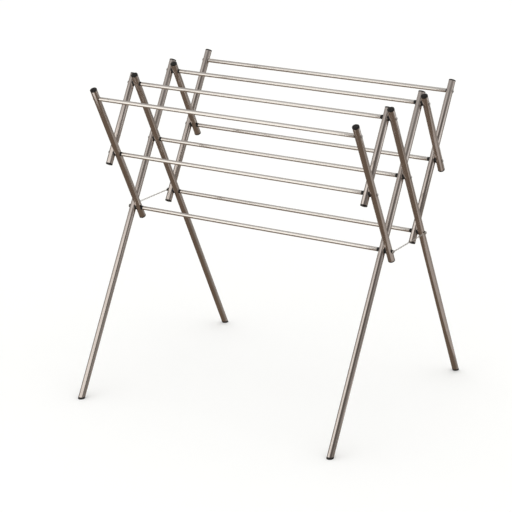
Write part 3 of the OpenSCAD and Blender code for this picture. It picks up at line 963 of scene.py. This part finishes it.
# %% [markdown]
# The world shader answers each kind of ray in its own way. For glossy rays, soft panels are placed
# by their heading and height: 0 degrees is straight ahead of the rack, 90 degrees is to its right.
# A picture of a real studio wrapped round the scene would do the same, but panels made of nodes can
# be moved one at a time, and each one shows on the tubes as one streak.

# %% Two angles for each direction
world = bpy.data.worlds.new("studio")
bpy.context.scene.world = world
world.use_nodes = True
air = world.node_tree
air.nodes.clear()
direction = add_node(air, "ShaderNodeTexCoord").outputs["Generated"]
parts_of = add_node(air, "ShaderNodeSeparateXYZ", {"Vector": direction})
toward_front = add_node(air, "ShaderNodeMath", {0: parts_of.outputs["Y"], 1: -1.0},
                        operation="MULTIPLY").outputs[0]
heading = add_node(air, "ShaderNodeMath", {0: parts_of.outputs["X"], 1: toward_front},
                   operation="ARCTAN2").outputs[0]
height = add_node(air, "ShaderNodeMath", {0: parts_of.outputs["Z"]}, operation="ARCSINE").outputs[0]
print("nodes for the two angles:", len(air.nodes))

# %% [markdown]
# A panel is the product of two bands, one of headings and one of heights, with soft edges. Hard
# edges would draw sharp lines along the tubes, which a big cloth-covered lamp never does.

# %% Soft panels
def smooth_step(value, start, end):
    """1 above end, 0 below start, smooth between. The angles are in degrees."""
    return add_node(air, "ShaderNodeMapRange", {"Value": value, "From Min": math.radians(start),
                    "From Max": math.radians(end)}, interpolation_type="SMOOTHSTEP").outputs["Result"]


def both(a, b):
    """The product of two masks."""
    return add_node(air, "ShaderNodeMath", {0: a, 1: b}, operation="MULTIPLY").outputs[0]


def between(value, start, end, soft):
    """A band with soft edges, from start to end in degrees."""
    past_end = smooth_step(value, end - soft / 2, end + soft / 2)
    fall = add_node(air, "ShaderNodeMath", {0: 1.0, 1: past_end}, operation="SUBTRACT").outputs[0]
    return both(smooth_step(value, start - soft / 2, start + soft / 2), fall)


def panel(below, colour, headings, heights, soft):
    """Paints a soft panel over what is below it."""
    mask = both(between(heading, *headings, soft), between(height, *heights, soft))
    return mix_colour(air, mask, below, (*colour, 1))


# The room: a dark warm floor, a dim wall above the horizon, and a paler one higher up.
WARM_FLOOR = (0.18, 0.137, 0.104, 1)
LOW_WALL = (0.26, 0.25, 0.24, 1)
HIGH_WALL = (0.38, 0.36, 0.35, 1)
CEILING = (0.48, 0.47, 0.46, 1)
seen = mix_colour(air, smooth_step(height, -14, 2), WARM_FLOOR, LOW_WALL)
seen = mix_colour(air, smooth_step(height, 6, 18), seen, HIGH_WALL)
# Behind the rack on the right: a lit floor, a low lamp, and a large lamp above it.
seen = panel(seen, (0.27, 0.245, 0.22), headings=(88, 130), heights=(-48, -14), soft=24)
seen = panel(seen, (0.40, 0.38, 0.36), headings=(128, 178), heights=(-30, -6), soft=16)
seen = panel(seen, (0.86, 0.84, 0.81), headings=(118, 172), heights=(8, 46), soft=14)
seen = mix_colour(air, smooth_step(height, 46, 60), seen, CEILING)
# In front on the left: a wide soft lamp, and a narrow bright one over it.
seen = panel(seen, (0.52, 0.49, 0.47), headings=(-105, -22), heights=(12, 42), soft=18)
seen = panel(seen, (0.90, 0.88, 0.85), headings=(-58, -22), heights=(36, 54), soft=14)
# In front on the right: a black cloth, which gives the tubes their dark edge.
seen = panel(seen, (0.13, 0.115, 0.105), headings=(4, 72), heights=(8, 60), soft=24)
print("nodes for the room and its panels:", len(air.nodes))

# %% [markdown]
# The room is only for the metal. All other rays meet an even white, a little above 1, which keeps
# the floor and the background as pale as a sheet of paper.

# %% White air
WHITE_AIR = (1.12, 1.12, 1.11, 1)
rays = add_node(air, "ShaderNodeLightPath")
light_colour = mix_colour(air, rays.outputs["Is Glossy Ray"], WHITE_AIR, seen)
backdrop = add_node(air, "ShaderNodeBackground", {"Color": light_colour, "Strength": 1.0})
air.links.new(backdrop.outputs[0], add_node(air, "ShaderNodeOutputWorld").inputs["Surface"])
print("world nodes:", len(air.nodes))

# %% [markdown]
# The cards are planes that glow, and only glossy rays meet them. The world is infinitely far away, so
# a panel in it shows the same on every tube. A card stands close, and shows brighter or wider on the
# tubes near it. The tall one fades towards its top, and the low one lies on the floor beside the
# right end, where it lifts the dark side of the bars.

# %% Cards
def card(name, corner, across, up, colour, top_colour, fade):
    """A glowing card from one corner, given by its two edges. Its colour fades over a height."""
    bm = bmesh.new()
    bmesh.ops.create_grid(bm, x_segments=1, y_segments=1, size=0.5)
    across, up, corner = Vector(across), Vector(up), Vector(corner)
    for v in bm.verts:
        v.co = corner + across * (v.co.x + 0.5) + up * (v.co.y + 0.5)
    mesh = bpy.data.meshes.new(name)
    bm.to_mesh(mesh)
    bm.free()
    made_card = bpy.data.objects.new(name, mesh)
    bpy.context.scene.collection.objects.link(made_card)
    paint, tree, shader = new_material(name)
    shader.inputs["Base Color"].default_value = (0, 0, 0, 1)
    place = add_node(tree, "ShaderNodeTexCoord").outputs["Object"]
    level = add_node(tree, "ShaderNodeSeparateXYZ", {"Vector": place}).outputs["Z"]
    glow = mix_colour(tree, remap(tree, level, *fade, 0.0, 1.0), (*colour, 1), (*top_colour, 1))
    tree.links.new(glow, shader.inputs["Emission Color"])
    shader.inputs["Emission Strength"].default_value = 1.0
    mesh.materials.append(paint)
    for ray in ("camera", "diffuse", "transmission", "shadow", "volume_scatter"):
        setattr(made_card, f"visible_{ray}", False)
    return made_card


CARDS = [
    card("front_left_card", corner=(-2.6, -1.3, 0.0), across=(2.93, 0, 0), up=(0, 0, 2.25),
         colour=(1.04, 1.01, 0.97), top_colour=(0.70, 0.67, 0.65), fade=(1.6, 2.1)),
    card("right_card", corner=(1.35, 0.0, 0.80), across=(0, 0.85, 0), up=(0, 0, 0.62),
         colour=(0.90, 0.89, 0.88), top_colour=(0.80, 0.79, 0.78), fade=(1.0, 1.3)),
    card("floor_card", corner=(0.57, -0.12, 0.001), across=(2.4, 0, 0), up=(0, 0.80, 0),
         colour=(0.48, 0.44, 0.41), top_colour=(0.48, 0.44, 0.41), fade=(0.0, 1.0)),
]
print("cards:", [c.name for c in CARDS])

# %% [markdown]
# ## Camera
# The camera stands to the front right, above the rack, and looks down on it with a long lens. A long
# lens from far away keeps the parallel rods almost parallel. A target to track would also aim it,
# but three turns say exactly how it is held: a small roll about its own axis, then a tilt from
# looking straight down, then its heading about the vertical. The plain Standard view keeps the
# whites white.

# %% Camera
CAMERA_PLACE = Vector((2.77057, -4.88162, 2.26371))
CAMERA_HEADING = math.radians(30.17531)
CAMERA_HEIGHT = math.radians(17.90469)
CAMERA_ROLL = math.radians(0.35866)
CAMERA_LENS = 126.249
SENSOR_WIDTH = 36.0
camera_data = bpy.data.cameras.new("camera")
camera_data.lens = CAMERA_LENS
camera_data.sensor_width = SENSOR_WIDTH
camera = bpy.data.objects.new("camera", camera_data)
bpy.context.scene.collection.objects.link(camera)
aim = (Matrix.Rotation(CAMERA_HEADING, 4, "Z")
       @ Matrix.Rotation(QUARTER_TURN - CAMERA_HEIGHT, 4, "X")
       @ Matrix.Rotation(CAMERA_ROLL, 4, "Z"))
camera.matrix_world = Matrix.Translation(CAMERA_PLACE) @ aim
bpy.context.scene.camera = camera
bpy.context.scene.view_settings.view_transform = "Standard"
print("camera at", [round(c, 3) for c in CAMERA_PLACE])
